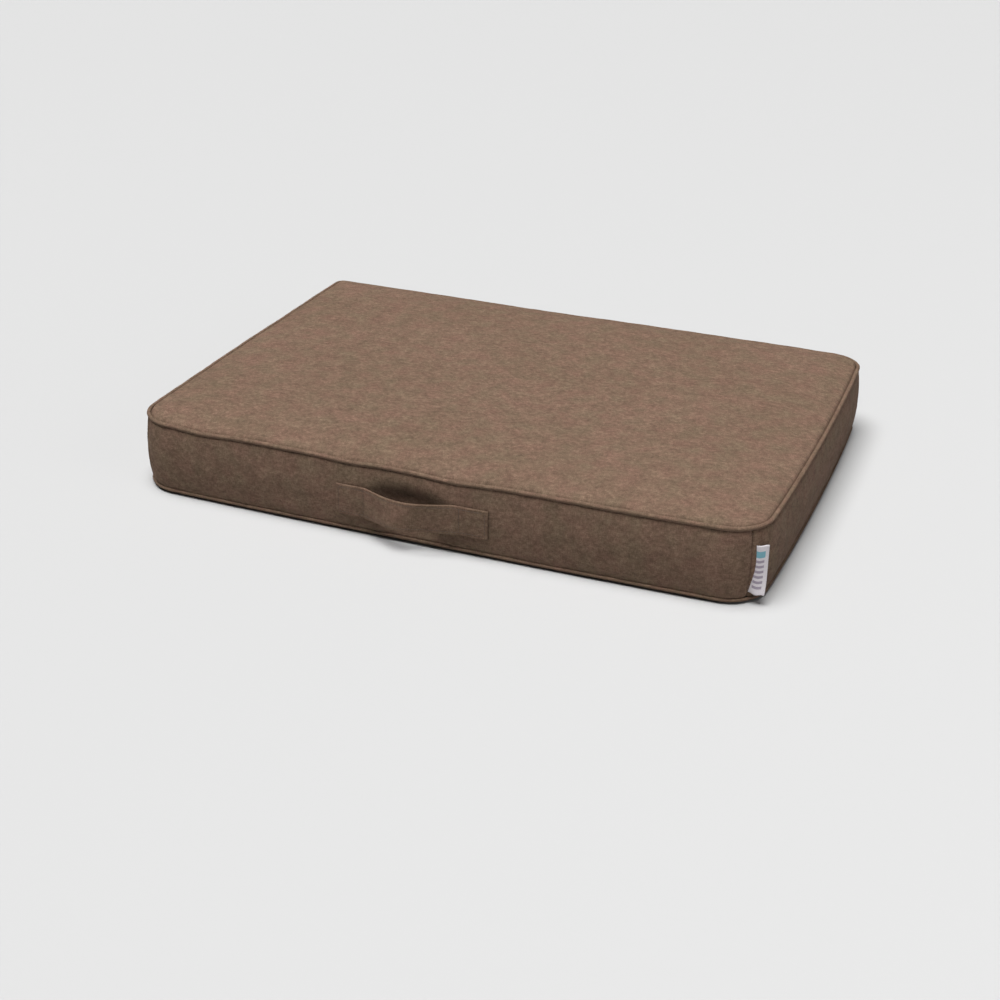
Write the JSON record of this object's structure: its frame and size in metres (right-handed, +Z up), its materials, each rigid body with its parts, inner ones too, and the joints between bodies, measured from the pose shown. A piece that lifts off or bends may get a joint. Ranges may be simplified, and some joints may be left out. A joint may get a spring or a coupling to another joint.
{
  "type": "pet cushion bed",
  "caption": "Flat box-shaped pet cushion with a foam core, a zipped cloth cover with piped edges, a strap handle on the front and a folded side label.",
  "frame": {"origin": "centre of the face that rests on the floor", "axes": "+X along the front (the long side), -Y is the side with the handle, +Z up through the thickness"},
  "size_m": [0.7072, 0.5236, 0.0844],
  "materials": {
    "cover_cloth": "matte",
    "base_cloth": "matte",
    "welt_cord": "matte",
    "label_tape": "satin",
    "zip_tape": "matte",
    "zip_coil": "satin",
    "zip_metal": "satin",
    "liner_cloth": "matte",
    "memory_foam": "matte",
    "support_foam": "matte"
  },
  "bodies": {
    "bed": {"top_panel": "cover_cloth", "bottom_panel": "base_cloth", "front_band": "cover_cloth", "left_band": "cover_cloth", "right_band": "cover_cloth", "back_band_upper": "cover_cloth", "back_band_lower": "cover_cloth", "top_welt_cover": "cover_cloth", "bottom_welt_cover": "cover_cloth", "top_welt_cord": "welt_cord", "bottom_welt_cord": "welt_cord", "handle_end_left": "cover_cloth", "handle_end_right": "cover_cloth", "zip_tape_upper": "zip_tape", "zip_tape_lower": "zip_tape", "zip_coil_upper": "zip_coil", "zip_coil_lower": "zip_coil", "zip_end_stops": "zip_metal", "zip_end_tabs": "cover_cloth", "inner_liner": "liner_cloth", "memory_foam": "memory_foam", "support_foam": "support_foam"},
    "handle": {"handle_grip": "cover_cloth"},
    "label": {"woven_label": "label_tape"},
    "slider": {"zip_slider": "zip_metal"},
    "pull": {"zip_pull": "zip_metal"}
  },
  "joints": [
    {"name": "handle_lift", "type": "hinge", "parent": "bed", "child": "handle", "pos_m": [-0.014, -0.2512, 0.0395], "axis": [-1, 0, 0], "range_deg": [0, 33]},
    {"name": "label_flap", "type": "hinge", "parent": "bed", "child": "label", "pos_m": [0.33723, -0.23723, 0.038], "axis": [0, 0, 1], "range_deg": [-80, 5]},
    {"name": "zip_slide", "type": "slide", "parent": "bed", "child": "slider", "axis": [1, 0, 0], "range_m": [0, 0.55]},
    {"name": "pull_flip", "type": "hinge", "parent": "slider", "child": "pull", "pos_m": [-0.275, 0.2541, 0.042], "axis": [0, 0, 1], "range_deg": [0, 165]}
  ]
}
